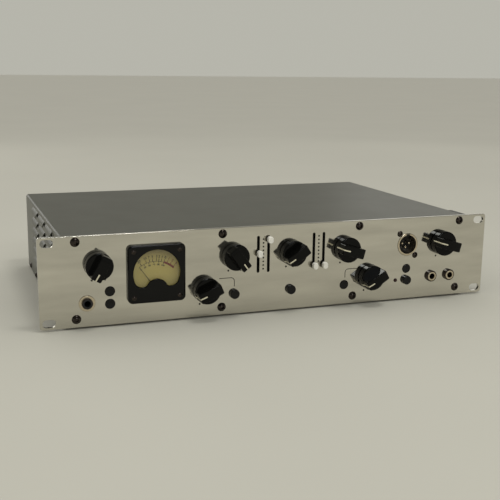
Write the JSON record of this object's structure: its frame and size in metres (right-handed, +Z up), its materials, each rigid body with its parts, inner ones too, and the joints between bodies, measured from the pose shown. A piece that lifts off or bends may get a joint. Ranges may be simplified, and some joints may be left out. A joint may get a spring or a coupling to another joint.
{
  "type": "bass amplifier head",
  "caption": "Rack-width bass amplifier head with a polished panel, bar knobs, slide controls, push buttons, a level meter and sockets.",
  "frame": {"origin": "on the surface that the head stands on, under the middle of its bounding box", "axes": "+X to the right along the panel seen from the front, +Y from the panel to the rear, +Z up"},
  "size_m": [0.4826, 0.3106, 0.0901],
  "materials": {
    "panel_steel": "polished stainless steel with faint level grain",
    "casing_paint": "satin dark grey",
    "bracket_paint": "satin black",
    "black_screws": "blackened steel",
    "foot_rubber": "matt",
    "knob_plastic": "glossy black",
    "button_plastic": "satin black",
    "cap_plastic": "off-white",
    "lever_steel": "blackened",
    "bezel_plastic": "glossy black",
    "meter_window": "clear",
    "dial_card": "printed cream card on metal",
    "needle_metal": "painted black",
    "moulded_black": "moulded",
    "lamp_lens": "dark red lens, unlit",
    "bright_plate": "nickel plate",
    "zinc_nuts": "zinc plate",
    "board_resin": "solder mask",
    "switch_housing": "moulded",
    "control_can": "plated steel can",
    "capacitor_sleeve": "shrunk sleeve",
    "winding_tape": "wrapped tape",
    "heatsink_metal": "anodised",
    "device_resin": "moulded",
    "fan_plastic": "moulded"
  },
  "bodies": {
    "casing": {"front_panel": "panel_steel", "chassis_tray": "casing_paint", "top_cover": "casing_paint", "rear_panel": "casing_paint", "ear_bracket": "bracket_paint", "feet": "foot_rubber", "panel_screws": "black_screws", "cover_screws": "black_screws", "small_screws": "black_screws", "potentiometers": "control_can", "potentiometer_nuts": "zinc_nuts", "button_switches": "switch_housing", "slider_bodies": "switch_housing", "meter_bezel": "bezel_plastic", "meter_glass": "meter_window", "meter_case": "moulded_black", "meter_dial": "dial_card", "power_lamp": "lamp_lens", "input_jack": "moulded_black", "input_jack_washer": "bright_plate", "output_jacks": "bright_plate", "jack_nuts": "black_screws", "line_output_shell": "bright_plate", "line_output_insert": "moulded_black", "line_output_pins": "bright_plate", "preamp_board": "board_resin", "power_board": "board_resin", "capacitors": "capacitor_sleeve", "transformer": "winding_tape", "transformer_clamp": "zinc_nuts", "heatsink": "heatsink_metal", "transistors": "device_resin", "fan_frame": "fan_plastic", "mains_inlet": "moulded_black", "speaker_sockets": "moulded_black"},
    "meter_needle": {"meter_needle": "needle_metal"},
    "fan_rotor": {"fan_rotor": "fan_plastic"},
    "power_rocker": {"power_rocker": "button_plastic"},
    "input_knob": {"input_knob": "knob_plastic"},
    "drive_knob": {"drive_knob": "knob_plastic"},
    "bass_knob": {"bass_knob": "knob_plastic"},
    "middle_knob": {"middle_knob": "knob_plastic"},
    "treble_knob": {"treble_knob": "knob_plastic"},
    "sub_knob": {"sub_knob": "knob_plastic"},
    "output_knob": {"output_knob": "knob_plastic"},
    "input_upper_button": {"input_upper_button": "button_plastic"},
    "input_lower_button": {"input_lower_button": "button_plastic"},
    "bass_button": {"bass_button": "button_plastic"},
    "middle_button": {"middle_button": "button_plastic"},
    "treble_button": {"treble_button": "button_plastic"},
    "output_upper_button": {"output_upper_button": "button_plastic"},
    "output_lower_button": {"output_lower_button": "button_plastic"},
    "low_cut_slider": {"low_cut_slider_cap": "cap_plastic", "low_cut_slider_lever": "lever_steel"},
    "low_boost_slider": {"low_boost_slider_cap": "cap_plastic", "low_boost_slider_lever": "lever_steel"},
    "high_cut_slider": {"high_cut_slider_cap": "cap_plastic", "high_cut_slider_lever": "lever_steel"},
    "high_boost_slider": {"high_boost_slider_cap": "cap_plastic", "high_boost_slider_lever": "lever_steel"}
  },
  "joints": [
    {"name": "input_knob_turn", "type": "hinge", "parent": "casing", "child": "input_knob", "pos_m": [-0.1857, -0.13408, 0.0613], "axis": [0, 1, 0], "range_deg": [-5.9, 306.9]},
    {"name": "drive_knob_turn", "type": "hinge", "parent": "casing", "child": "drive_knob", "pos_m": [-0.0799, -0.13408, 0.0295], "axis": [0, 1, 0], "range_deg": [-42.9, 269.9]},
    {"name": "bass_knob_turn", "type": "hinge", "parent": "casing", "child": "bass_knob", "pos_m": [-0.0502, -0.13408, 0.0613], "axis": [0, 1, 0], "range_deg": [-298.9, 13.9]},
    {"name": "middle_knob_turn", "type": "hinge", "parent": "casing", "child": "middle_knob", "pos_m": [0.0116, -0.13408, 0.0613], "axis": [0, 1, 0], "range_deg": [-32.4, 280.4]},
    {"name": "treble_knob_turn", "type": "hinge", "parent": "casing", "child": "treble_knob", "pos_m": [0.0724, -0.13408, 0.0613], "axis": [0, 1, 0], "range_deg": [-81.4, 231.4]},
    {"name": "sub_knob_turn", "type": "hinge", "parent": "casing", "child": "sub_knob", "pos_m": [0.1013, -0.13408, 0.0295], "axis": [0, 1, 0], "range_deg": [-36.4, 276.4]},
    {"name": "output_knob_turn", "type": "hinge", "parent": "casing", "child": "output_knob", "pos_m": [0.1872, -0.13408, 0.0613], "axis": [0, 1, 0], "range_deg": [-81.7, 231.1]},
    {"name": "input_upper_button_press", "type": "slide", "parent": "casing", "child": "input_upper_button", "axis": [0, 1, 0], "range_m": [-0.0032, 0]},
    {"name": "input_lower_button_press", "type": "slide", "parent": "casing", "child": "input_lower_button", "axis": [0, 1, 0], "range_m": [-0.0032, 0]},
    {"name": "bass_button_press", "type": "slide", "parent": "casing", "child": "bass_button", "axis": [0, 1, 0], "range_m": [0, 0.0032], "stiffness_N_per_m": 200},
    {"name": "middle_button_press", "type": "slide", "parent": "casing", "child": "middle_button", "axis": [0, 1, 0], "range_m": [0, 0.0032], "stiffness_N_per_m": 200},
    {"name": "treble_button_press", "type": "slide", "parent": "casing", "child": "treble_button", "axis": [0, 1, 0], "range_m": [-0.0032, 0]},
    {"name": "output_upper_button_press", "type": "slide", "parent": "casing", "child": "output_upper_button", "axis": [0, 1, 0], "range_m": [-0.0032, 0]},
    {"name": "output_lower_button_press", "type": "slide", "parent": "casing", "child": "output_lower_button", "axis": [0, 1, 0], "range_m": [0, 0.0032], "stiffness_N_per_m": 200},
    {"name": "low_cut_slider_travel", "type": "slide", "parent": "casing", "child": "low_cut_slider", "axis": [0, 0, 1], "range_m": [-0.0161, 0.0139]},
    {"name": "low_boost_slider_travel", "type": "slide", "parent": "casing", "child": "low_boost_slider", "axis": [0, 0, 1], "range_m": [-0.03, 0]},
    {"name": "high_cut_slider_travel", "type": "slide", "parent": "casing", "child": "high_cut_slider", "axis": [0, 0, 1], "range_m": [0, 0.03]},
    {"name": "high_boost_slider_travel", "type": "slide", "parent": "casing", "child": "high_boost_slider", "axis": [0, 0, 1], "range_m": [0, 0.03]},
    {"name": "needle_swing", "type": "hinge", "parent": "casing", "child": "meter_needle", "pos_m": [-0.13, -0.13408, 0.034], "axis": [0, 1, 0], "range_deg": [0, 80], "stiffness_Nm_per_rad": 0.002},
    {"name": "power_rocker_tilt", "type": "hinge", "parent": "casing", "child": "power_rocker", "pos_m": [-0.1765, 0.14792, 0.0456], "axis": [1, 0, 0], "range_deg": [-20, 0]},
    {"name": "fan_spin", "type": "hinge", "parent": "casing", "child": "fan_rotor", "pos_m": [0.12, 0.12842, 0.0456], "axis": [0, 1, 0], "continuous": true}
  ]
}
